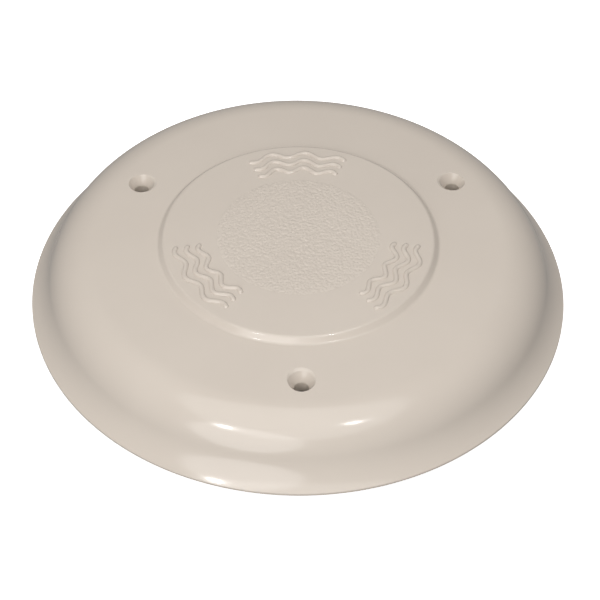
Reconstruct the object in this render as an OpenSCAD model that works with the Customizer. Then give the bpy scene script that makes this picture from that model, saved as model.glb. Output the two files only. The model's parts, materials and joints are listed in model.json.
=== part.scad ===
// Low-profile deck ventilator: a round cap stands on a collared base, and a valve disc on a
// screw spindle closes the throat from below decks. The deck is the plane z = 0, the throat's
// axis is Z, and the cap's three open screw holes lie at 30, 150 and 270 degrees.

/* [Cap] */
// Diameter over the brim
cap_d = 220; // [180:1:265]
// Height of the middle of the raised panel above the bottom of the brim
cap_h = 33.2; // [27:0.2:40]
// Wall thickness of the cap
cap_wall = 3; // [2:0.25:4]
// Slope of the crown where it meets the shoulder, in degrees
crown_slope = 5.6; // [3:0.2:8]
// Radius of the rounded shoulder
shoulder_r = 22; // [16:0.5:28]
// Steepest slope of the side, in degrees
side_slope = 70; // [60:1:74]
// Slope of the side where it reaches the brim, in degrees
brim_slope = 40; // [32:1:50]
// Height of the upright edge round the brim
brim_edge_h = 1.2; // [0.6:0.1:2]
// Height of the bottom of the brim above the deck
brim_lift = 14; // [12:0.5:20]

/* [Raised panel] */
// Distance from the screw circle in to the foot of the panel's edge
panel_gap = 17.6; // [14:0.1:22]
// Height of the panel above the crown
panel_rise = 2.4; // [1.2:0.1:3.2]
// Width of the panel's sloping edge
panel_edge_w = 2.2; // [1:0.1:3.4]
// Width of the plain band between the panel's edge and its textured pad
motif_band = 21.2; // [17:0.2:25]
// Height of the textured pad above the panel
pad_rise = 0.2; // [0.1:0.05:0.4]
// Length of each raised wave
wave_l = 40; // [30:1:44]
// Height of the waves above the panel
wave_rise = 0.8; // [0.4:0.1:1.2]

/* [Deck screws] */
// Distance from the brim in to the screw circle
screw_inset = 35; // [34:0.5:42]
// Diameter of the screw holes
screw_hole_d = 6; // [4.5:0.1:7]
// Diameter of the countersinks
countersink_d = 11; // [9:0.5:13]
// Included angle of the countersinks, in degrees
countersink_angle = 60; // [60:1:90]
// Radius of the pillars and bosses that the deck screws pass through
pillar_r = 8; // [7:0.25:9]
// Length of the bosses under the crown
boss_h = 6; // [4:0.5:8]
// Wall thickness of the clamp sleeves
sleeve_wall = 1.5; // [1:0.1:2]

/* [Base] */
// Thickness of the deck gasket
gasket_t = 2; // [1:0.25:3]
// Thickness of the base flange
flange_t = 3.5; // [2.5:0.25:5]
// Distance from the brim in to the edge of the base flange
flange_inset = 17.5; // [15:0.5:22]
// Radial gap between the collar and the pillars
gallery_w = 14; // [12:0.5:18]
// Height of the collar above the gasket
collar_h = 18; // [16:0.5:22]
// Wall thickness of the collar
collar_wall = 3; // [2:0.25:4]
// Width of the ledge inside the collar
ledge_w = 5; // [4:0.5:7]
// Radius of the posts that the cap's fixing screws pass through
post_r = 5.5; // [5:0.25:7]

/* [Valve] */
// Diameter of the control knob
knob_d = 40; // [32:1:48]
// Height of the control knob
knob_h = 7; // [6:0.25:8]
// Diameter of the spindle
spindle_d = 6; // [5:0.25:7]
// Diameter of the guide pins
guide_d = 4; // [3:0.25:5]
// Distance from the axis to the guide pins
guide_pcr = 30; // [24:0.5:32]
// Thickness of the valve seal
seal_t = 2; // [1.5:0.25:3]
// Thickness of the valve disc
disc_t = 2.5; // [2:0.25:4]
// Length of the lift nut
nut_h = 6; // [5:0.25:8]

/* [Hidden] */
$fn = 180;
cut = 1;              // how far a cutter runs past a face
end_play = 0.1;       // axial play of the spindle at each thrust face
run_gap = 0.05;       // radial clearance of a turning or sliding pin
fix_gap = 0.02;       // radial clearance of a fixed pin or bush
drop_gap = 0.3;       // radial clearance of pieces that drop into the collar

brim_r = cap_d / 2;
panel_base_z = brim_lift + cap_h;
screw_pcr = brim_r - screw_inset;
pillar_az = [30, 150, 270];
post_az = [90, 210, 330];

// Outline of the cap: a crown, a shoulder and a hollow flare, each an arc that runs smoothly
// into the next. The flare's radius follows from the height that the other two leave over.
flare_foot_z = brim_lift + brim_edge_h;
crown_rise = cap_h - panel_rise - brim_edge_h;
shoulder_run = shoulder_r * (sin(side_slope) - sin(crown_slope));
shoulder_drop = shoulder_r * (cos(crown_slope) - cos(side_slope));
crown_pitch = tan(crown_slope / 2);
crown_steps = 6;
shoulder_steps = 16;
flare_steps = 8;
flare_r = (crown_rise - shoulder_drop - crown_pitch * (brim_r - shoulder_run))
    / (cos(brim_slope) - cos(side_slope) - crown_pitch * (sin(side_slope) - sin(brim_slope)));
flare_c = [brim_r + flare_r * sin(brim_slope), flare_foot_z + flare_r * cos(brim_slope)];
shoulder_c = flare_c - (flare_r + shoulder_r) * [sin(side_slope), cos(side_slope)];
crown_edge = shoulder_c + shoulder_r * [sin(crown_slope), cos(crown_slope)];
crown_r = crown_edge[0] / sin(crown_slope);
crown_cz = crown_edge[1] - crown_r * cos(crown_slope);

function crown_z(r, rise = 0) = crown_cz + sqrt(pow(crown_r + rise, 2) - r * r);

panel_r = screw_pcr - panel_gap;
panel_top_r = panel_r - panel_edge_w;
pad_r = panel_top_r - motif_band;
motif_r = pad_r + motif_band / 2;
motif_rows = [-4.8, 0, 4.8];
wave_w = 2.2;
wave_swing = 1.5;
wave_count = 3;
wave_steps = 24;
countersink_h = (countersink_d - screw_hole_d) / 2 / tan(countersink_angle / 2);
countersink_over = 1;

// Base
flange_r = brim_r - flange_inset;
flange_top_z = gasket_t + flange_t;
collar_r = screw_pcr - pillar_r - gallery_w - collar_wall;
collar_out_r = collar_r + collar_wall;
collar_top_z = gasket_t + collar_h;
sleeve_r = screw_hole_d / 2 + sleeve_wall;
boss_seal_t = 1;
boss_z = crown_z(screw_pcr, -cap_wall) - boss_h;
pillar_top_z = boss_z - boss_seal_t;
gasket_rim = 0.5;
gasket_in_r = collar_r + 2;
rib_t = 2.5;
rib_h = 2.5;

// Cap fixing screws, driven up through the posts from below
fixing_r = 1.75;
fixing_head_r = 3.4;
fixing_head_h = 2.4;
fixing_sink_h = fixing_head_h + 0.3;
fixing_tip_gap = 0.5;

// Spindle stack, from the knob up
knob_z = 1;
knob_top_z = knob_z + knob_h;
washer_t = 0.8;
washer_r = spindle_d;
bush_flange_t = 1;
bush_flange_r = spindle_d / 2 + 3.8;
bush_wall = 1.5;
bush_r = spindle_d / 2 + bush_wall;
bush_z = knob_top_z + washer_t + 2 * end_play;
spider_z = bush_z + bush_flange_t;
hub_r = bush_r + 3.5;
hub_h = 7;
hub_top_z = spider_z + hub_h;
clip_t = 0.8;
clip_r = spindle_d / 2 + 1.6;
clip_groove_r = spindle_d / 2 - 0.7;
clip_side_gap = 0.05;
lower_clip_z = hub_top_z + washer_t + 2 * end_play;
head_room = 1.6;
spindle_top_z = crown_z(0, -cap_wall) - head_room;
stop_clip_z = spindle_top_z - 1 - clip_t;
stop_gap = 0.2;

// Insect screen and its ledge
screen_t = 1.5;
screen_rest_h = 0.7;
mesh_t = 0.4;
screen_rebate_w = 1.5;
screen_hub_r = bush_flange_r + 3;
ledge_top_z = spider_z - screen_t;
ledge_t = ledge_top_z - flange_top_z;
ledge_r = collar_r - ledge_w;
lug_r = 4.5;
spoke_w = 2;
drop_r = collar_r - drop_gap;

// Spider and its screws
arm_w = 7;
arm_h = 4;
spider_ring_h = 2.5;
spider_pad_h = 5;
guide_boss_r = guide_d / 2 + 2.6;
guide_foot_z = spider_z + 1;
lug_screw_r = 1.25;
lug_head_r = 2.4;
lug_head_h = 1.5;
lug_sink_h = lug_head_h + 0.2;
lug_screw_l = ledge_t - lug_sink_h + screen_t + spider_pad_h - 1.5;
screw_skin = 0.8;

// Valve disc
disc_z = collar_top_z + seal_t;
disc_overlap = 4;
disc_r = collar_out_r + disc_overlap;
seal_out_r = collar_out_r + 2;
seal_in_r = collar_r - 1;
seal_side_gap = 0.1;
seal_rib_h = seal_t - 0.6;
seal_rib_w = 1.9;
disc_hub_r = 9;
disc_rib_h = 2.5;
nut_flats = 10;
nut_top_z = disc_z + nut_h;
valve_lift = stop_clip_z - stop_gap - nut_top_z;

// Knob fixing
knob_lobes = 9;
knob_lobe_r = 4;
knob_screw_r = 1.25;
knob_head_r = 2.6;
knob_head_h = 1.5;
knob_sink_h = 2.5;
knob_seat_z = knob_z + knob_sink_h;
knob_screw_l = 5;
drive_flats = spindle_d - 1.6;

// A ring standing on z = 0
module ring(r_out, r_in, h) {
    difference() {
        cylinder(r = r_out, h = h);
        translate([0, 0, -cut]) cylinder(r = r_in, h = h + 2 * cut);
    }
}

// A ring over the ledge, with a lug for each spider screw, standing on z = 0
module lug_ring(r_out, h) {
    linear_extrude(h) {
        difference() {
            circle(r = r_out);
            circle(r = ledge_r);
        }
        around(ledge_r, post_az) circle(r = lug_r);
    }
}

// Copies of the children at radius r and at each azimuth, with +X turned outwards
module around(r, azimuths) {
    for (az = azimuths) rotate([0, 0, az]) translate([r, 0, 0]) children();
}

// A pan-head screw with its head's underside at z = 0 and its point upwards
module pan_screw(shank_r, shank_l, head_r, head_h) {
    slot_w = head_r * 0.3;
    cylinder(r = shank_r, h = shank_l);
    difference() {
        translate([0, 0, -head_h]) cylinder(r1 = head_r * 0.8, r2 = head_r, h = head_h);
        for (turn = [0, 90]) rotate([0, 0, turn])
            translate([-head_r * 0.55, -slot_w / 2, -head_h - cut])
                cube([head_r * 1.1, slot_w, head_h * 0.5 + cut]);
    }
}

// An open retaining clip for a groove in the spindle
module open_clip() {
    difference() {
        ring(clip_r, clip_groove_r + run_gap, clip_t);
        translate([0, -clip_groove_r * 0.8, -cut])
            cube([clip_r + cut, clip_groove_r * 1.6, clip_t + 2 * cut]);
    }
}

// Points along an arc about c, from one slope to another in steps; a hollow arc has its centre outside
function arc(c, r, from, to, steps) =
    [for (i = [0 : steps]) let (slope = from + (to - from) * i / steps) c + r * [sin(slope), cos(slope)]];

// The cap's outline moved inwards by wall, from the axis down to a slope of the flare
function cap_outline(wall, foot_slope) = concat(
    arc([0, crown_cz], crown_r - wall, 0, crown_slope, crown_steps),
    arc(shoulder_c, shoulder_r - wall, crown_slope, side_slope, shoulder_steps),
    arc(flare_c, -flare_r - wall, side_slope, foot_slope, flare_steps)
);

// Half-section under that outline, down to foot_z
module cap_inside(wall, foot_z) {
    polygon(concat([[0, foot_z]], cap_outline(wall, acos((flare_c[1] - foot_z) / (flare_r + wall)))));
}

// Half-section of a disc that follows the crown, its top moved up by rise and its edge sloping
// from r_top out to r_foot
module panel_section(r_top, r_foot, rise) {
    r = crown_r + rise;
    polygon(concat(
        [[0, crown_z(r_foot, -cap_wall / 2)]],
        arc([0, crown_cz], r, 0, asin(r_top / r), crown_steps),
        [[r_foot, crown_z(r_foot)], [r_foot, crown_z(r_foot, -cap_wall / 2)]]
    ));
}

// The cap's wall between two radii
module cap_wall_ring(r_in, r_out) {
    rotate_extrude() intersection() {
        difference() {
            polygon(concat([[0, brim_lift]], cap_outline(0, brim_slope), [[brim_r, brim_lift]]));
            cap_inside(cap_wall, brim_lift - cut);
        }
        translate([r_in, 0]) square([r_out - r_in, panel_base_z]);
    }
}

// A point of a wave's edge, at share s of its length, side times half the stroke off its middle
function wave_point(s, side, row) =
    let (
        turn = 360 * wave_count * s,
        slope = wave_swing * 2 * PI * wave_count / wave_l * cos(turn),
        off = side * wave_w / 2 / sqrt(1 + slope * slope),
        along = (s - 0.5) * wave_l - slope * off,
        r = motif_r + row + wave_swing * sin(turn) + off,
        az = along / motif_r * 180 / PI
    )
    [r * cos(az), r * sin(az)];

// Three waves, one behind the other, standing on the panel
module wave_group() {
    intersection() {
        translate([0, 0, crown_z(motif_r + motif_band / 2)])
            linear_extrude(panel_rise + cap_wall) for (row = motif_rows) {
                polygon([
                    for (i = [0 : wave_steps]) wave_point(i / wave_steps, 1, row),
                    for (i = [wave_steps : -1 : 0]) wave_point(i / wave_steps, -1, row)
                ]);
                for (s = [0, 1]) translate(wave_point(s, 0, row)) circle(d = wave_w, $fn = 24);
            }
        rotate_extrude() panel_section(panel_r, panel_r, panel_rise + wave_rise);
    }
}

module cap_crown() {
    color("#cbc3b9") difference() {
        union() {
            cap_wall_ring(0, crown_edge[0]);
            rotate_extrude() panel_section(panel_top_r, panel_r, panel_rise);
            rotate_extrude() panel_section(pad_r, pad_r + pad_rise, panel_rise + pad_rise);
            for (az = post_az) rotate([0, 0, az]) wave_group();
            intersection() {
                rotate_extrude() cap_inside(cap_wall / 2, brim_lift);
                translate([0, 0, boss_z]) {
                    around(screw_pcr, pillar_az) cylinder(r = pillar_r, h = cap_h);
                    around(screw_pcr, post_az) cylinder(r = post_r, h = cap_h);
                }
                translate([0, 0, boss_z]) cylinder(r = crown_edge[0], h = cap_h);
            }
        }
        around(screw_pcr, pillar_az) {
            translate([0, 0, boss_z - cut]) cylinder(d = screw_hole_d, h = cap_h);
            translate([0, 0, crown_z(screw_pcr) - countersink_h])
                cylinder(r1 = screw_hole_d / 2, r2 = countersink_d / 2 + countersink_over,
                    h = countersink_h + countersink_over / tan(countersink_angle / 2));
        }
        around(screw_pcr, post_az) translate([0, 0, boss_z - cut])
            cylinder(r = fixing_r + run_gap, h = boss_h + cut);
    }
}

module cap_skirt() {
    color("#cbc3b9") cap_wall_ring(crown_edge[0], brim_r);
}

module deck_flange() {
    edge = flange_t * 0.4;
    color("#d8d2c8") difference() {
        translate([0, 0, gasket_t]) rotate_extrude() polygon([
            [collar_r, 0],
            [flange_r, 0],
            [flange_r, flange_t - edge],
            [flange_r - edge, flange_t],
            [collar_r, flange_t]
        ]);
        around(screw_pcr, pillar_az) translate([0, 0, gasket_t - cut])
            cylinder(r = sleeve_r + fix_gap, h = flange_t + 2 * cut);
        around(screw_pcr, post_az) translate([0, 0, gasket_t - cut]) {
            cylinder(r = fixing_r + 2 * run_gap, h = flange_t + 2 * cut);
            cylinder(r = fixing_head_r + drop_gap, h = fixing_sink_h + cut);
        }
    }
}

module throat_collar() {
    color("#d8d2c8") difference() {
        translate([0, 0, flange_top_z]) {
            ring(collar_out_r, collar_r, collar_top_z - flange_top_z);
            lug_ring(collar_r + collar_wall / 2, ledge_t);
        }
        around(ledge_r, post_az) translate([0, 0, flange_top_z - cut]) {
            cylinder(r = lug_screw_r + 2 * run_gap, h = ledge_t + 2 * cut);
            cylinder(r = lug_head_r + drop_gap, h = lug_sink_h + cut);
        }
    }
}

// Hollow columns on the flange, each with a rib to the collar
module columns(azimuths, r_out, r_in, top_z) {
    around(screw_pcr, azimuths) translate([0, 0, flange_top_z]) difference() {
        union() {
            cylinder(r = r_out, h = top_z - flange_top_z);
            translate([collar_out_r - screw_pcr, -rib_t / 2, 0])
                cube([screw_pcr - collar_out_r, rib_t, rib_h]);
        }
        translate([0, 0, -cut]) cylinder(r = r_in, h = top_z);
    }
}

module screw_pillars() {
    color("#d8d2c8") columns(pillar_az, pillar_r, sleeve_r + fix_gap, pillar_top_z);
}

module cap_posts() {
    color("#d8d2c8") columns(post_az, post_r, fixing_r + 2 * run_gap, boss_z);
}

module deck_gasket() {
    color("#2b2b2b") difference() {
        ring(flange_r - gasket_rim, gasket_in_r, gasket_t);
        around(screw_pcr, pillar_az) translate([0, 0, -cut])
            cylinder(r = sleeve_r + drop_gap, h = gasket_t + 2 * cut);
    }
}

module clamp_sleeves() {
    color("#b9bcc0") around(screw_pcr, pillar_az) ring(sleeve_r, screw_hole_d / 2, pillar_top_z);
}

module boss_seals() {
    color("#2b2b2b") around(screw_pcr, pillar_az) translate([0, 0, pillar_top_z])
        ring(pillar_r - gasket_rim, screw_hole_d / 2, boss_seal_t);
}

module cap_screws() {
    seat_z = gasket_t + fixing_sink_h;
    shank_l = boss_z + boss_h - fixing_tip_gap - seat_z;
    color("#b9bcc0") around(screw_pcr, post_az) translate([0, 0, seat_z])
        pan_screw(fixing_r, shank_l, fixing_head_r, fixing_head_h);
}

module screen_frame() {
    color("#d8d2c8") difference() {
        translate([0, 0, ledge_top_z]) difference() {
            union() {
                lug_ring(drop_r, screen_t);
                ring(screen_hub_r, bush_flange_r + drop_gap, screen_t);
                for (az = [0 : 60 : 300]) rotate([0, 0, az])
                    translate([screen_hub_r - screen_rebate_w, -spoke_w / 2, 0])
                        cube([ledge_r - screen_hub_r + 2 * screen_rebate_w, spoke_w, screen_rest_h]);
            }
            translate([0, 0, screen_rest_h]) difference() {
                ring(ledge_r + screen_rebate_w, screen_hub_r - screen_rebate_w, screen_t);
                around(ledge_r, post_az) translate([0, 0, -cut])
                    cylinder(r = lug_r, h = screen_t + 2 * cut);
            }
        }
        around(ledge_r, post_az) translate([0, 0, ledge_top_z - cut])
            cylinder(r = lug_screw_r + 2 * run_gap, h = screen_t + 2 * cut);
    }
}

module insect_mesh() {
    color("#8d9196") translate([0, 0, ledge_top_z + screen_rest_h]) difference() {
        ring(ledge_r + screen_rebate_w - run_gap, screen_hub_r - screen_rebate_w + run_gap, mesh_t);
        around(ledge_r, post_az) translate([0, 0, -cut])
            cylinder(r = lug_r + run_gap, h = mesh_t + 2 * cut);
    }
}

module valve_spider() {
    color("#d8d2c8") difference() {
        translate([0, 0, spider_z]) union() {
            ring(drop_r, ledge_r, spider_ring_h);
            cylinder(r = hub_r, h = hub_h);
            for (az = post_az) rotate([0, 0, az])
                translate([0, -arm_w / 2, 0]) cube([ledge_r, arm_w, arm_h]);
            around(ledge_r, post_az) cylinder(r = lug_r, h = spider_pad_h);
            around(guide_pcr, post_az) cylinder(r = guide_boss_r, h = hub_h);
        }
        translate([0, 0, spider_z - cut]) cylinder(r = bush_r + fix_gap, h = hub_h + 2 * cut);
        around(guide_pcr, post_az) translate([0, 0, guide_foot_z])
            cylinder(r = guide_d / 2 + fix_gap, h = hub_h);
        around(ledge_r, post_az) translate([0, 0, spider_z - cut])
            cylinder(r = lug_screw_r + run_gap, h = spider_pad_h + cut - screw_skin);
    }
}

module spider_screws() {
    color("#b9bcc0") around(ledge_r, post_az) translate([0, 0, ledge_top_z - ledge_t + lug_sink_h])
        pan_screw(lug_screw_r, lug_screw_l, lug_head_r, lug_head_h);
}

module guide_pins() {
    pin_top_z = crown_z(guide_pcr, -cap_wall) - head_room;
    color("#b9bcc0") around(guide_pcr, post_az) translate([0, 0, guide_foot_z]) {
        cylinder(d = guide_d, h = pin_top_z - guide_foot_z - guide_d / 4);
        translate([0, 0, pin_top_z - guide_foot_z - guide_d / 4])
            cylinder(d1 = guide_d, d2 = guide_d / 2, h = guide_d / 4);
    }
}

module spindle_bush() {
    color("#b5925a") translate([0, 0, bush_z]) difference() {
        union() {
            cylinder(r = bush_flange_r, h = bush_flange_t);
            cylinder(r = bush_r, h = bush_flange_t + hub_h);
        }
        translate([0, 0, -cut])
            cylinder(d = spindle_d + 2 * run_gap, h = bush_flange_t + hub_h + 2 * cut);
    }
}

module spindle() {
    groove_h = clip_t + 2 * clip_side_gap;
    color("#b9bcc0") difference() {
        union() {
            translate([0, 0, knob_top_z]) cylinder(d = spindle_d, h = spindle_top_z - knob_top_z);
            intersection() {
                translate([0, 0, knob_seat_z]) cylinder(d = spindle_d, h = knob_top_z - knob_seat_z);
                translate([-spindle_d, -drive_flats / 2, 0])
                    cube([2 * spindle_d, drive_flats, knob_top_z]);
            }
        }
        for (z = [lower_clip_z, stop_clip_z]) translate([0, 0, z - clip_side_gap])
            ring(spindle_d, clip_groove_r, groove_h);
        translate([0, 0, knob_seat_z - cut])
            cylinder(r = knob_screw_r + run_gap, h = knob_screw_l + 2 * cut);
    }
}

module lower_washer() {
    color("#e8e6e0") translate([0, 0, knob_top_z + end_play])
        ring(washer_r, spindle_d / 2 + run_gap, washer_t);
}

module upper_washer() {
    color("#e8e6e0") translate([0, 0, hub_top_z + end_play])
        ring(washer_r, spindle_d / 2 + run_gap, washer_t);
}

module spindle_clip() {
    color("#8d9196") translate([0, 0, lower_clip_z]) open_clip();
}

module stop_clip() {
    color("#8d9196") translate([0, 0, stop_clip_z]) open_clip();
}

module control_knob() {
    edge = 1;
    lobe_pcr = knob_d / 2 + knob_lobe_r * 0.45;
    finger_r = knob_d / 2 - 6;
    color("#3a3d40") difference() {
        translate([0, 0, knob_z]) union() {
            cylinder(d1 = knob_d - 2 * edge, d2 = knob_d, h = edge);
            translate([0, 0, edge]) cylinder(d = knob_d, h = knob_h - 2 * edge);
            translate([0, 0, knob_h - edge]) cylinder(d1 = knob_d, d2 = knob_d - 2 * edge, h = edge);
        }
        for (az = [0 : 360 / knob_lobes : 359]) rotate([0, 0, az])
            translate([lobe_pcr, 0, 0]) cylinder(r = knob_lobe_r, h = knob_top_z + cut);
        translate([0, 0, knob_z + knob_h / 2])
            ring(finger_r, spindle_d / 2 + 3.5, knob_h);
        translate([0, 0, knob_z - cut]) cylinder(r = knob_head_r + drop_gap, h = knob_sink_h + cut);
        intersection() {
            translate([0, 0, knob_seat_z - cut])
                cylinder(d = spindle_d + 2 * run_gap, h = knob_h + cut);
            translate([-spindle_d, -drive_flats / 2 - run_gap, 0])
                cube([2 * spindle_d, drive_flats + 2 * run_gap, knob_top_z + cut]);
        }
    }
}

module knob_screw() {
    color("#b9bcc0") translate([0, 0, knob_seat_z])
        pan_screw(knob_screw_r, knob_screw_l, knob_head_r, knob_head_h);
}

module valve_disc() {
    color("#d8d2c8") difference() {
        translate([0, 0, disc_z]) union() {
            cylinder(r = disc_r, h = disc_t);
            translate([0, 0, -seal_rib_h]) {
                ring(disc_r, seal_out_r + seal_side_gap, seal_rib_h);
                ring(seal_in_r - seal_side_gap, seal_in_r - seal_rib_w, seal_rib_h);
            }
            cylinder(r = disc_hub_r, h = nut_h);
            around(guide_pcr, post_az) cylinder(r = guide_boss_r, h = nut_h);
            for (az = [30 : 60 : 330]) rotate([0, 0, az])
                translate([0, -rib_t / 2, 0]) cube([seal_in_r, rib_t, disc_t + disc_rib_h]);
        }
        translate([0, 0, disc_z - cut]) {
            cylinder(d = (nut_flats + 2 * fix_gap) / cos(30), h = nut_h + 2 * cut, $fn = 6);
            around(guide_pcr, post_az) cylinder(d = guide_d + 2 * run_gap, h = nut_h + 2 * cut);
        }
    }
}

module lift_nut() {
    color("#b5925a") translate([0, 0, disc_z]) difference() {
        cylinder(d = nut_flats / cos(30), h = nut_h, $fn = 6);
        translate([0, 0, -cut]) cylinder(d = spindle_d + 2 * run_gap, h = nut_h + 2 * cut);
    }
}

module valve_seal() {
    color("#2b2b2b") translate([0, 0, collar_top_z]) ring(seal_out_r, seal_in_r, seal_t);
}

cap_crown();
cap_skirt();
deck_flange();
throat_collar();
screw_pillars();
cap_posts();
deck_gasket();
clamp_sleeves();
boss_seals();
cap_screws();
screen_frame();
insect_mesh();
valve_spider();
spider_screws();
guide_pins();
spindle_bush();
spindle();
lower_washer();
upper_washer();
spindle_clip();
stop_clip();
control_knob();
knob_screw();
valve_disc();
lift_nut();
valve_seal();
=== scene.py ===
import json
from math import acos, asin, atan2, cos, pi, radians, sin, sqrt, tan

import bpy
from mathutils import Matrix, Vector


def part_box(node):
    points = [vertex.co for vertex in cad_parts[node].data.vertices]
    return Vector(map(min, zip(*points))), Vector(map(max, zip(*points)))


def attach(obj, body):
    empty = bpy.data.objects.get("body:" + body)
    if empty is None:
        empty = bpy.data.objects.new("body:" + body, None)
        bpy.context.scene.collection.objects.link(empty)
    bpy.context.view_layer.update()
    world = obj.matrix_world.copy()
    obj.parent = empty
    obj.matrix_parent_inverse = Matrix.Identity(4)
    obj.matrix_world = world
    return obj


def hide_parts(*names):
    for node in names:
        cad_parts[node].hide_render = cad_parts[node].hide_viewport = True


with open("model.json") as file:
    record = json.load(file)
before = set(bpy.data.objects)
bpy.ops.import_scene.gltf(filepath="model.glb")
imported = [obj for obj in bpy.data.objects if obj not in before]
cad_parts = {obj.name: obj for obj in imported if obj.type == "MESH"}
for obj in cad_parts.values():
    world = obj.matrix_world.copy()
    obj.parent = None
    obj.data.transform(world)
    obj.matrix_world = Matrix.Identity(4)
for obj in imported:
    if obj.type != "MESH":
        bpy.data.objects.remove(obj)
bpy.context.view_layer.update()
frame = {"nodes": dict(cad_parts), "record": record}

# Lengths are in millimetres, and at() and MM turn them into the frame's metres.
MM = 0.001


def at(x, y, z):
    return Vector((x, y, z)) * MM


# ---------------------------------------------------------------- sizes of the ventilator

# The cap: its wall and brim, the slopes of its outline from the level, and what lies on its crown
WALL = 3.0
BRIM_R = 110.0
BRIM_Z = 14.0
BRIM_EDGE_H = 1.2
CAP_H = 33.2
CROWN_SLOPE = radians(5.6)
SHOULDER_R = 22.0
SIDE_SLOPE = radians(70)
BRIM_SLOPE = radians(40)
PANEL_RISE = 2.4
PANEL_R = 56.3
PAD_R = 34.0
MOTIF_R = 44.6
# The screws: three deck screws through the pillars and three from below into the posts
SCREW_PCR = 75.0
PILLAR_AZ = (30, 150, 270)
POST_AZ = (90, 210, 330)
PILLAR_R = 8.0
POST_R = 5.5
BOSS_H = 6.0
# The screen: the ledge that it lies on, the lugs on the ledge, and its opening for the hub
LEDGE_R = 45.0
LUG_R = 4.5
MESH_HUB_R = 11.3

# The outline's arcs, each running smoothly into the next
foot_z = BRIM_Z + BRIM_EDGE_H
crown_rise = CAP_H - PANEL_RISE - BRIM_EDGE_H
shoulder_run = SHOULDER_R * (sin(SIDE_SLOPE) - sin(CROWN_SLOPE))
shoulder_drop = SHOULDER_R * (cos(CROWN_SLOPE) - cos(SIDE_SLOPE))
pitch = tan(CROWN_SLOPE / 2)
flare_r = (crown_rise - shoulder_drop - pitch * (BRIM_R - shoulder_run)) / (
    cos(BRIM_SLOPE) - cos(SIDE_SLOPE) - pitch * (sin(SIDE_SLOPE) - sin(BRIM_SLOPE))
)
flare_c = (BRIM_R + flare_r * sin(BRIM_SLOPE), foot_z + flare_r * cos(BRIM_SLOPE))
shoulder_c = (
    flare_c[0] - (flare_r + SHOULDER_R) * sin(SIDE_SLOPE),
    flare_c[1] - (flare_r + SHOULDER_R) * cos(SIDE_SLOPE),
)
crown_edge = shoulder_c[0] + SHOULDER_R * sin(CROWN_SLOPE)
crown_r = crown_edge / sin(CROWN_SLOPE)
crown_c = (0, shoulder_c[1] + SHOULDER_R * cos(CROWN_SLOPE) - crown_r * cos(CROWN_SLOPE))


def crown_z(r, rise=0.0):
    """Height of the crown at a radius, or of a dome that lies rise above it."""
    return crown_c[1] + sqrt((crown_r + rise) ** 2 - r * r)


def arc(centre, radius, first, last, steps):
    """Points of (radius, height) along an arc, from one slope to another; a hollow has a minus radius."""
    slopes = [first + (last - first) * i / steps for i in range(steps + 1)]
    return [(centre[0] + radius * sin(s), centre[1] + radius * cos(s)) for s in slopes]


# ---------------------------------------------------------------- modelling by hand


def start_afresh():
    if bpy.context.object and bpy.context.object.mode == "EDIT":
        bpy.ops.object.mode_set(mode="OBJECT")
    bpy.ops.object.select_all(action="DESELECT")


def only(piece):
    start_afresh()
    piece.select_set(True)
    bpy.context.view_layer.objects.active = piece


def chain(name, points):
    """One vertex pushed out along the points, left selected in edit mode."""
    start_afresh()
    bpy.ops.mesh.primitive_plane_add(size=MM)
    piece = bpy.context.object
    piece.name = piece.data.name = name
    bpy.ops.object.mode_set(mode="EDIT")
    bpy.ops.mesh.select_all(action="SELECT")
    bpy.ops.mesh.merge(type="CENTER")
    bpy.ops.transform.translate(value=points[0])
    for here, there in zip(points, points[1:]):
        bpy.ops.mesh.extrude_vertices_move(TRANSFORM_OT_translate={"value": there - here})
    return piece


def close_up(merge=0.002):
    """Merges what meets and turns every face outwards, in edit mode."""
    bpy.ops.mesh.select_all(action="SELECT")
    bpy.ops.mesh.remove_doubles(threshold=merge * MM)
    bpy.ops.mesh.normals_make_consistent(inside=False)
    bpy.ops.object.mode_set(mode="OBJECT")


def turned(name, outline, steps=288):
    """An outline of (radius, height) spun round the Z axis."""
    piece = chain(name, [at(r, 0, z) for r, z in outline])
    bpy.ops.mesh.select_all(action="SELECT")
    bpy.ops.mesh.spin(steps=steps, angle=2 * pi, center=(0, 0, 0), axis=(0, 0, 1))
    close_up()
    return piece


def modify(piece, kind, **settings):
    only(piece)
    modifier = piece.modifiers.new(kind.title(), kind)
    for key, value in settings.items():
        setattr(modifier, key, value)
    bpy.ops.object.modifier_apply(modifier=modifier.name)


def join(pieces, name):
    start_afresh()
    for piece in pieces:
        piece.select_set(True)
    bpy.context.view_layer.objects.active = pieces[0]
    bpy.ops.object.join()
    pieces[0].name = pieces[0].data.name = name
    return pieces[0]


def settle(piece):
    """Puts the object's place, turn and size into its mesh."""
    only(piece)
    bpy.ops.object.transform_apply(location=True, rotation=True, scale=True)


def copies(piece, azimuths, radius=0):
    """The piece moved out to a radius and copied to each azimuth, as one mesh."""
    made = []
    for azimuth in azimuths:
        only(piece)
        bpy.ops.object.duplicate()
        twin = bpy.context.object
        turn = Matrix.Rotation(radians(azimuth), 4, "Z")
        twin.matrix_world = turn @ Matrix.Translation(at(radius, 0, 0)) @ twin.matrix_world
        settle(twin)
        made.append(twin)
    bpy.data.objects.remove(piece)
    return join(made, made[0].name)


def combine(piece, other, operation):
    """Adds the other piece, or cuts with it, and uses it up."""
    modify(piece, "BOOLEAN", operation=operation, object=other, solver="EXACT")
    bpy.data.objects.remove(other)


def smooth(piece, angle=28):
    only(piece)
    bpy.ops.object.shade_smooth_by_angle(angle=radians(angle))


# ---------------------------------------------------------------- shader sums


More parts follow.
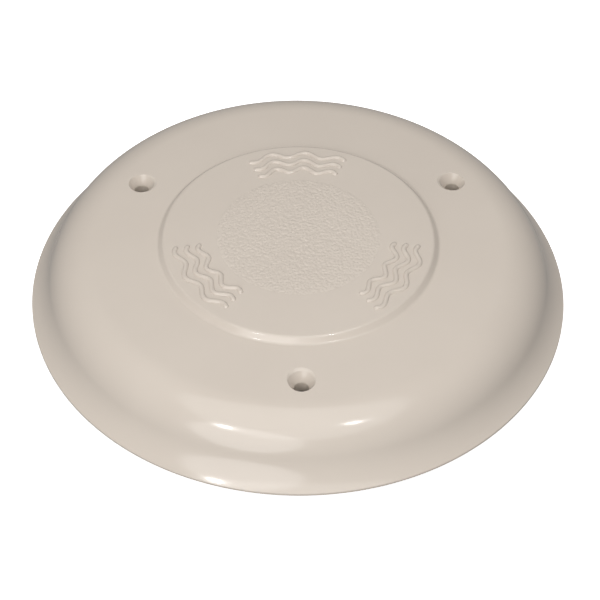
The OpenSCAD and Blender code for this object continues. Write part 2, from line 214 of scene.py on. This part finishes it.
class Reading:
    """A socket of a finish, on which ordinary sums add the nodes that work them out."""

    def __init__(self, finish, socket):
        self.finish, self.socket = finish, socket

    def _sum(self, operation, left, right):
        return self.finish.node("Math", {"operation": operation}, {0: left, 1: right})

    def __add__(self, other):
        return self._sum("ADD", self, other)

    def __mul__(self, other):
        return self._sum("MULTIPLY", self, other)

    __radd__ = __add__
    __rmul__ = __mul__


class Finish:
    """A material whose nodes are written as expressions."""

    def __init__(self, name):
        self.material = bpy.data.materials.new(name)
        self.material.use_nodes = True
        self.tree = self.material.node_tree
        self.tree.nodes.clear()

    def node(self, kind, settings=None, sockets=None, out=0):
        made = self.tree.nodes.new("ShaderNode" + kind)
        for key, value in (settings or {}).items():
            setattr(made, key, value)
        for key, value in (sockets or {}).items():
            if isinstance(value, Reading):
                self.tree.links.new(value.socket, made.inputs[key])
            else:
                made.inputs[key].default_value = value
        return Reading(self, made.outputs[out])

    def place(self, squeeze=(1, 1, 1)):
        """The piece's own coordinates in millimetres, with a pattern on them squeezed along each axis."""
        spot = self.node("TexCoord", out="Object")
        scale = [s / MM for s in squeeze]
        return self.node("VectorMath", {"operation": "MULTIPLY"}, {0: spot, 1: scale})

    def noise(self, size, detail=2.0, where=None):
        """Soft noise from 0 to 1 with blotches of about the given size in millimetres."""
        sockets = {"Vector": where or self.place(), "Scale": 1 / size, "Detail": detail, "Roughness": 0.5}
        return self.node("TexNoise", sockets=sockets)

    def pebbles(self, size):
        sockets = {"Vector": self.place(), "Scale": 1 / size, "Smoothness": 0.4, "Randomness": 1.0}
        return self.node("TexVoronoi", {"feature": "SMOOTH_F1"}, sockets)

    def mix(self, share, first, second):
        return self.node("Mix", {"data_type": "RGBA"}, {0: share, 6: (*first, 1), 7: (*second, 1)}, 2)

    def bump(self, height, depth, under=None):
        """A relief of depth millimetres, on top of the relief under it."""
        sockets = {"Height": height, "Strength": 1.0, "Distance": depth * MM}
        if under:
            sockets["Normal"] = under
        return self.node("Bump", sockets=sockets)

    def finish(self, **sockets):
        named = {}
        for key, value in sockets.items():
            named[key.replace("_", " ").title().replace("Ior", "IOR")] = value
        shader = self.node("BsdfPrincipled", sockets=named)
        output = self.tree.nodes.new("ShaderNodeOutputMaterial")
        self.tree.links.new(shader.socket, output.inputs["Surface"])
        return self.material


def band(value, low, high):
    """Takes a reading that runs from 0 to 1 to a run from low to high."""
    return value * (high - low) + low


CREAM = (0.600, 0.540, 0.475)
PALE_CREAM = (0.640, 0.580, 0.512)


def glossy_cream(name):
    """Moulded plastic with a faint orange peel."""
    f = Finish(name)
    peel = f.bump(f.noise(9, 1), 0.010)
    return f.finish(
        base_color=f.mix(f.noise(38, 3), CREAM, PALE_CREAM),
        roughness=band(f.noise(7, 2), 0.11, 0.17),
        normal=f.bump(f.noise(0.7, 2), 0.0012, peel),
    )


def grained_cream(name):
    f = Finish(name)
    return f.finish(
        base_color=f.mix(f.noise(38, 3), CREAM, PALE_CREAM),
        roughness=band(f.noise(1.3, 2), 0.26, 0.42),
        normal=f.bump(f.noise(0.35, 3), 0.02),
        coat_weight=0.1,
        coat_roughness=0.2,
    )


def satin_plastic(name, first, second, low=0.42, high=0.6, grain=0.012):
    f = Finish(name)
    return f.finish(
        base_color=f.mix(f.noise(22, 3), first, second),
        roughness=band(f.noise(3, 3), low, high),
        normal=f.bump(f.noise(0.45, 3), grain),
    )


def rubber(name):
    f = Finish(name)
    return f.finish(
        base_color=f.mix(f.noise(6, 4), (0.016, 0.016, 0.017), (0.035, 0.034, 0.033)),
        roughness=band(f.noise(1.5, 3), 0.7, 0.88),
        normal=f.bump(f.pebbles(0.5), 0.03),
    )


def turned_metal(name, first, second, low, high):
    """Metal with fine tool marks that run round it."""
    f = Finish(name)
    marks = f.noise(0.5, 3, f.place((1, 1, 9)))
    return f.finish(
        base_color=f.mix(f.noise(9, 3), first, second),
        metallic=1.0,
        roughness=band(marks, low, high),
        normal=f.bump(marks, 0.004),
    )


FINISHES = {
    "cream_plastic": glossy_cream("cream_plastic"),
    "base_plastic": satin_plastic("base_plastic", (0.55, 0.50, 0.44), (0.61, 0.56, 0.50)),
    "black_rubber": rubber("black_rubber"),
    "stainless": turned_metal("stainless", (0.56, 0.56, 0.55), (0.66, 0.66, 0.65), 0.16, 0.36),
    "mesh_steel": turned_metal("mesh_steel", (0.42, 0.43, 0.44), (0.55, 0.56, 0.57), 0.25, 0.45),
    "bronze": turned_metal("bronze", (0.48, 0.31, 0.14), (0.62, 0.43, 0.20), 0.24, 0.46),
    "acetal": satin_plastic("acetal", (0.76, 0.75, 0.71), (0.84, 0.83, 0.79), 0.3, 0.45, 0.004),
    "spring_steel": turned_metal("spring_steel", (0.30, 0.30, 0.31), (0.42, 0.42, 0.43), 0.3, 0.5),
    "knob_plastic": satin_plastic(
        "knob_plastic", (0.035, 0.038, 0.042), (0.055, 0.058, 0.062), 0.45, 0.62, 0.03
    ),
}
PAD_FINISH = grained_cream("cream_plastic_grained")


def dress(piece, body, slot, stands_for, finish=None):
    """Gives a piece its finish, the body that it moves with and the nodes that it stands for."""
    piece.data.materials.clear()
    piece.data.materials.append(finish or FINISHES[slot])
    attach(piece, body)
    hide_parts(*stands_for)


# ---------------------------------------------------------------- the cap


def cap_outline():
    """Once round the cap's wall, from the middle of the panel to the middle of its underside."""
    # The panel's step: a face at this slope between two equal fillets, centred on PANEL_R
    steep = radians(50)
    fillet = 1.7
    lean = asin(PANEL_R / crown_r)
    bend = steep - lean
    face = (PANEL_RISE - 2 * fillet * (1 - cos(bend))) / sin(bend)
    run = 2 * fillet * sin(bend) + face * cos(bend)
    top_r = PANEL_R - run / 2
    top = asin(top_r / (crown_r + PANEL_RISE))
    points = arc(crown_c, crown_r + PANEL_RISE, 0, top, 20)
    r, z = points[-1]
    brow = (r - fillet * sin(top), z - fillet * cos(top))
    points += arc(brow, fillet, top, steep, 8)[1:]
    r, z = points[-1]
    r, z = r + face * cos(steep), z - face * sin(steep)
    foot = asin((PANEL_R + run / 2) / crown_r)
    hollow = (r + fillet * sin(steep), z + fillet * cos(steep))
    points += arc(hollow, -fillet, steep, foot, 8)
    points += arc(crown_c, crown_r, foot, CROWN_SLOPE, 22)[1:]
    points += arc(shoulder_c, SHOULDER_R, CROWN_SLOPE, SIDE_SLOPE, 30)[1:]
    # The flare, the rounded edge of the brim, and back along the underside
    edge = 0.35
    corner_r = BRIM_R - edge
    corner_z = foot_z + (edge - edge * sin(BRIM_SLOPE)) * tan(BRIM_SLOPE) - edge * cos(BRIM_SLOPE)
    flare = arc(flare_c, -flare_r, SIDE_SLOPE, BRIM_SLOPE, 16)[1:]
    points += [p for p in flare if p[0] < corner_r]
    points += arc((corner_r, corner_z), edge, BRIM_SLOPE, pi / 2, 5)
    points += arc((corner_r, BRIM_Z + edge), edge, pi / 2, pi, 5)
    inner_foot = acos((flare_c[1] - BRIM_Z) / (flare_r + WALL))
    points += arc(flare_c, -flare_r - WALL, inner_foot, SIDE_SLOPE, 10)
    points += arc(shoulder_c, SHOULDER_R - WALL, SIDE_SLOPE, CROWN_SLOPE, 16)[1:]
    points += arc(crown_c, crown_r - WALL, CROWN_SLOPE, 0, 14)[1:]
    return points


def make_cap():
    """The whole moulding: the turned shell, the bosses inside it, their bores and the screw holes."""
    chamfer = 0.4
    pilot_r = 1.8
    cap = turned("cap", cap_outline())
    boss_z = crown_z(SCREW_PCR, -WALL) - BOSS_H
    boss_top = crown_z(SCREW_PCR, -WALL / 2) - chamfer
    for radius, azimuths in ((PILLAR_R, PILLAR_AZ), (POST_R, POST_AZ)):
        foot = [(0, boss_z), (radius - chamfer, boss_z), (radius, boss_z + chamfer)]
        boss = turned("boss", [*foot, (radius, boss_top), (0, boss_top)], 72)
        combine(cap, copies(boss, azimuths, SCREW_PCR), "UNION")
    low, high = boss_z - 1, boss_z + BOSS_H
    bore = turned("bore", [(0, low), (pilot_r, low), (pilot_r, high), (0, high)], 46)
    combine(cap, copies(bore, POST_AZ, SCREW_PCR), "DIFFERENCE")
    combine(cap, copies(screw_hole(low), PILLAR_AZ, SCREW_PCR), "DIFFERENCE")
    only(cap)
    bpy.ops.object.mode_set(mode="EDIT")
    close_up(0.004)
    smooth(cap)
    modify(cap, "WEIGHTED_NORMAL", keep_sharp=True, weight=60)
    dress(cap, "base", "cream_plastic", ("cap_crown", "cap_skirt"))
    return cap


def screw_hole(foot):
    """The cutter for a screw hole and its 60 degree countersink, with a rounded lip at the crown."""
    lip = 0.7
    wide = 5.5
    bore_r = 3.0
    side = radians(60)
    lip_slope = radians(34)
    reach = 5
    headroom = 3
    top = crown_z(SCREW_PCR)
    centre = (wide + lip * tan(side / 2), top - lip)
    curve = [(2 * centre[0] - r, z) for r, z in arc(centre, lip, side, lip_slope, 8)]
    deep = (wide - bore_r) * tan(side)
    brow = (curve[-1][0] + reach, curve[-1][1] + reach * tan(lip_slope))
    outline = [(0, foot), (bore_r, foot), (bore_r, top - deep), *curve, brow, (0, top + headroom)]
    cutter = turned("screw_hole", outline, 96)
    # Turned a little, so that its seams miss the cap's
    cutter.rotation_euler.z = radians(1.7)
    settle(cutter)
    return cutter


# ---------------------------------------------------------------- the grained pad and the waves


def drop_vertices(piece, unwanted):
    """Deletes the vertices for which unwanted(place in millimetres) holds."""
    only(piece)
    bpy.ops.object.mode_set(mode="EDIT")
    bpy.ops.mesh.select_all(action="DESELECT")
    bpy.ops.object.mode_set(mode="OBJECT")
    for vertex in piece.data.vertices:
        vertex.select = unwanted(vertex.co / MM)
    bpy.ops.object.mode_set(mode="EDIT")
    bpy.ops.mesh.delete(type="VERT")
    bpy.ops.object.mode_set(mode="OBJECT")


def share_of(value):
    """The value kept between 0 and 1."""
    return min(1, max(0, value))


def make_pad(cap):
    """A fine sheet drawn down onto the panel, pebbled, with its edge sunk into it."""
    cells = 250
    apron = 0.6
    clear_above = 60
    fade_w, rim_w, wander = 1.5, 0.8, 0.7
    skirt_h = 1.2
    start_afresh()
    across = 2 * (PAD_R + apron) * MM
    bpy.ops.mesh.primitive_grid_add(
        x_subdivisions=cells, y_subdivisions=cells, size=across, location=at(0, 0, clear_above)
    )
    pad = bpy.context.object
    pad.name = pad.data.name = "grained_pad"
    settle(pad)
    drop_vertices(pad, lambda spot: spot.xy.length > PAD_R + 0.5)
    modify(
        pad,
        "SHRINKWRAP",
        target=cap,
        wrap_method="PROJECT",
        use_project_z=True,
        use_negative_direction=True,
        use_positive_direction=False,
    )
    raised = pad.vertex_groups.new(name="raised")
    rim = pad.vertex_groups.new(name="rim")
    for vertex in pad.data.vertices:
        x, y, _ = vertex.co
        r = vertex.co.xy.length / MM
        ragged = wander * sin(41 * atan2(y, x)) * sin(17 * atan2(x, y))
        raised.add([vertex.index], share_of((PAD_R - apron + ragged - r) / fade_w), "REPLACE")
        rim.add([vertex.index], share_of((r - PAD_R + rim_w) / rim_w), "REPLACE")
    pebble = bpy.data.textures.new("pebble", "VORONOI")
    pebble.noise_scale = 1.1 * MM
    pebble.distance_metric = "DISTANCE_SQUARED"
    pebble.weight_1 = 1.0
    lift = {"direction": "Z", "mid_level": 0.45, "strength": -0.46 * MM, "vertex_group": "raised"}
    modify(pad, "DISPLACE", texture=pebble, texture_coords="LOCAL", **lift)
    modify(pad, "DISPLACE", direction="Z", strength=-0.5 * MM, mid_level=0.0, vertex_group="rim")
    bpy.ops.object.mode_set(mode="EDIT")
    bpy.ops.mesh.select_all(action="DESELECT")
    bpy.ops.mesh.select_non_manifold()
    bpy.ops.mesh.extrude_region_move(TRANSFORM_OT_translate={"value": at(0, 0, -skirt_h)})
    bpy.ops.mesh.edge_face_add()
    close_up(0.0005)
    smooth(pad, 50)
    dress(pad, "base", "cream_plastic", ("cap_crown",), PAD_FINISH)
    bpy.data.textures.remove(pebble)


def bead(name, points, radii):
    """A round bead laid along the points, its ends closed by the radii shrinking."""
    laid = chain(name, points)
    bpy.ops.object.mode_set(mode="OBJECT")
    only(laid)
    bpy.ops.object.convert(target="CURVE")
    laid = bpy.context.object
    laid.data.bevel_depth = MM
    laid.data.bevel_resolution = 5
    for spline in laid.data.splines:
        for point, radius in zip(spline.points, radii):
            point.radius = radius
    bpy.ops.object.convert(target="MESH")
    bpy.ops.object.mode_set(mode="EDIT")
    close_up(0.01)
    return bpy.context.object


def make_waves():
    """Three rows of plain waves at each of three places on the panel."""
    length, swing, count, spacing = 38.0, 1.5, 3, 4.8
    bead_r, sink, steps = 1.15, 0.35, 72
    rows = []
    for row in (-spacing, 0, spacing):
        points, radii = [], []
        for i in range(steps + 1):
            share = i / steps
            along = (share - 0.5) * length
            r = MOTIF_R + row + swing * sin(2 * pi * count * share)
            az = along / MOTIF_R
            points.append(at(r * cos(az), r * sin(az), crown_z(r, PANEL_RISE) - sink))
            from_end = min(share, 1 - share) * length
            radii.append(bead_r * sqrt(max(0.004, 1 - max(0, 1 - from_end / bead_r) ** 2)))
        rows.append(bead("wave", points, radii))
    waves = copies(join(rows, "raised_waves"), POST_AZ)
    waves.name = waves.data.name = "raised_waves"
    smooth(waves, 60)
    dress(waves, "base", "cream_plastic", ("cap_crown",))


# ---------------------------------------------------------------- moulded pieces with softened edges


# How far the moulded edges are rounded over
EDGES = {
    "deck_flange": 0.5,
    "throat_collar": 0.4,
    "screw_pillars": 0.4,
    "cap_posts": 0.4,
    "screen_frame": 0.25,
    "valve_spider": 0.4,
    "valve_disc": 0.4,
    "valve_seal": 0.2,
    "deck_gasket": 0.25,
    "control_knob": 0.6,
    "lift_nut": 0.3,
    "spindle_bush": 0.3,
}


def softened(node, width, body, slot):
    """A node's own shape with its sharp edges rounded over."""
    source = frame["nodes"][node]
    piece = bpy.data.objects.new(node + "_moulded", source.data.copy())
    bpy.context.scene.collection.objects.link(piece)
    piece.data.name = piece.name
    only(piece)
    bpy.ops.object.mode_set(mode="EDIT")
    bpy.ops.mesh.select_all(action="SELECT")
    bpy.ops.mesh.remove_doubles(threshold=0.001 * MM)
    bpy.ops.mesh.dissolve_limited(angle_limit=radians(0.5))
    bpy.ops.object.mode_set(mode="OBJECT")
    modify(
        piece,
        "BEVEL",
        width=width * MM,
        segments=2,
        limit_method="ANGLE",
        angle_limit=radians(35),
        harden_normals=False,
        use_clamp_overlap=True,
    )
    smooth(piece, 32)
    modify(piece, "WEIGHTED_NORMAL", keep_sharp=True, weight=60)
    dress(piece, body, slot, (node,))


# ---------------------------------------------------------------- the insect mesh


def strip(name, inner, outer, low, high):
    return turned(name, [(inner, low), (outer, low), (outer, high), (inner, high), (inner, low)], 144)


def make_insect_mesh():
    """Wire net across the screen frame, bound with a pressed strip at its rim and round its hub."""
    lowest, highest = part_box("insect_mesh")
    level = (lowest.z + highest.z) / 2 / MM
    rim_r = highest.x / MM
    pitch, wire, strip_w, strip_h, inset = 1.6, 0.34, 1.9, 0.17, 0.1
    cells = int(2 * rim_r / pitch)
    start_afresh()
    bpy.ops.mesh.primitive_grid_add(
        x_subdivisions=cells, y_subdivisions=cells, size=cells * pitch * MM, location=at(0, 0, level)
    )
    cloth = bpy.context.object
    settle(cloth)
    lugs = [Vector((LEDGE_R * cos(radians(az)), LEDGE_R * sin(radians(az)))) for az in POST_AZ]

    def uncovered(spot):
        outside = not MESH_HUB_R < spot.xy.length < rim_r - wire
        return outside or any((spot.xy - lug).length < LUG_R for lug in lugs)

    drop_vertices(cloth, uncovered)
    modify(cloth, "WIREFRAME", thickness=wire * MM, use_even_offset=False, use_boundary=True)
    low, high = level - strip_h, level + strip_h
    strips = [
        strip("rim_strip", rim_r - strip_w, rim_r - inset, low, high),
        strip("hub_strip", MESH_HUB_R + inset, MESH_HUB_R + strip_w, low, high),
    ]
    cloth = join([cloth, *strips], "woven_insect_mesh")
    smooth(cloth, 40)
    dress(cloth, "base", "mesh_steel", ("insect_mesh",))


# ---------------------------------------------------------------- build


cap = make_cap()
make_pad(cap)
make_waves()
make_insect_mesh()
slots = {entry["node"]: entry["material_slot"] for entry in frame["record"]["subparts"]}
bodies = {node: body for body, nodes in frame["record"]["behaviour"]["bodies"].items() for node in nodes}
for node, width in EDGES.items():
    softened(node, width, bodies[node], slots[node])
for name, node in frame["nodes"].items():
    for part in node.material_slots:
        part.material = FINISHES[slots[name]]


# ---------------------------------------------------------------- floor, light and camera, in metres


def make_floor():
    """A pale floor that throws no light back on the object."""
    start_afresh()
    bpy.ops.mesh.primitive_plane_add(size=6, location=at(0, 0, -0.3))
    floor = bpy.context.object
    floor.name = floor.data.name = "floor"
    settle(floor)
    floor.visible_diffuse = floor.visible_glossy = False
    f = Finish("floor")
    colour = f.mix(f.noise(300), (0.92, 0.92, 0.92), (0.95, 0.95, 0.95))
    glow = {"emission_color": (1, 1, 1, 1), "emission_strength": 0.8}
    floor.data.materials.append(f.finish(base_color=colour, roughness=0.9, **glow))


def make_backdrop():
    """A pale dome that only the camera sees, so that it adds no light."""
    start_afresh()
    bpy.ops.mesh.primitive_uv_sphere_add(segments=48, ring_count=24, radius=4)
    dome = bpy.context.object
    dome.name = dome.data.name = "backdrop"
    dome.visible_diffuse = dome.visible_glossy = dome.visible_shadow = False
    f = Finish("backdrop")
    glow = {"emission_color": (1, 1, 1, 1), "emission_strength": 0.93}
    shade = f.finish(base_color=(0, 0, 0, 1), roughness=1.0, specular_ior_level=0.0, **glow)
    dome.data.materials.append(shade)


def direction(azimuth, elevation):
    """The way from the object to a place at this azimuth and elevation in degrees."""
    az, el = radians(azimuth), radians(elevation)
    return Vector((sin(az) * cos(el), -cos(az) * cos(el), sin(el)))


def lamp(name, azimuth, elevation, distance, size, power, colour=(1, 1, 1), mirrored=True):
    """A round lamp turned towards the object; mirrored says whether glossy pieces show it."""
    light = bpy.data.lights.new(name, "AREA")
    light.shape = "DISK"
    light.size = size
    light.energy = power
    light.color = colour
    lamp_object = bpy.data.objects.new(name, light)
    bpy.context.scene.collection.objects.link(lamp_object)
    away = direction(azimuth, elevation)
    lamp_object.location = at(0, 0, 30) + away * distance
    lamp_object.visible_glossy = mirrored
    lamp_object.rotation_euler = (-away).to_track_quat("-Z", "Y").to_euler()


def make_camera():
    """A long lens, looking down on the front of the cap."""
    away, roll = direction(-1.31, 45.54), radians(0.557)
    distance, target = 1055.0, at(0, 0, 14.6)
    camera = bpy.data.cameras.new("camera")
    camera.lens = 152.5
    camera.sensor_width = 36
    camera.shift_x = 0.0034
    camera.shift_y = -0.0148
    camera.clip_start, camera.clip_end = 0.05, 20
    camera_object = bpy.data.objects.new("camera", camera)
    bpy.context.scene.collection.objects.link(camera_object)
    right = (-away).cross(Vector((0, 0, 1))).normalized()
    up = right.cross(-away)
    turn = Matrix((right, up, away)).transposed() @ Matrix.Rotation(roll, 3, "Z")
    camera_object.matrix_world = Matrix.Translation(target + away * distance * MM) @ turn.to_4x4()
    bpy.context.scene.camera = camera_object


make_floor()
make_backdrop()
lamp("left lamp", -33, 38, 1.6, 0.11, 2.0)
lamp("right lamp", 29, 54, 1.6, 0.09, 1.6)
lamp("softbox", -3, 64, 2.0, 2.6, 23, (1.0, 0.985, 0.97))
lamp("back light", 165, 50, 2.2, 1.2, 9, (1.0, 0.98, 0.97), mirrored=False)
lamp("front fill", -22, 22, 2.0, 1.6, 15, (1.0, 0.985, 0.98))
make_camera()

world = bpy.data.worlds.new("studio")
bpy.context.scene.world = world
world.use_nodes = True
background = world.node_tree.nodes["Background"]
background.inputs["Color"].default_value = (1.0, 0.98, 0.97, 1)
background.inputs["Strength"].default_value = 0.28
bpy.context.scene.view_settings.view_transform = "Standard"
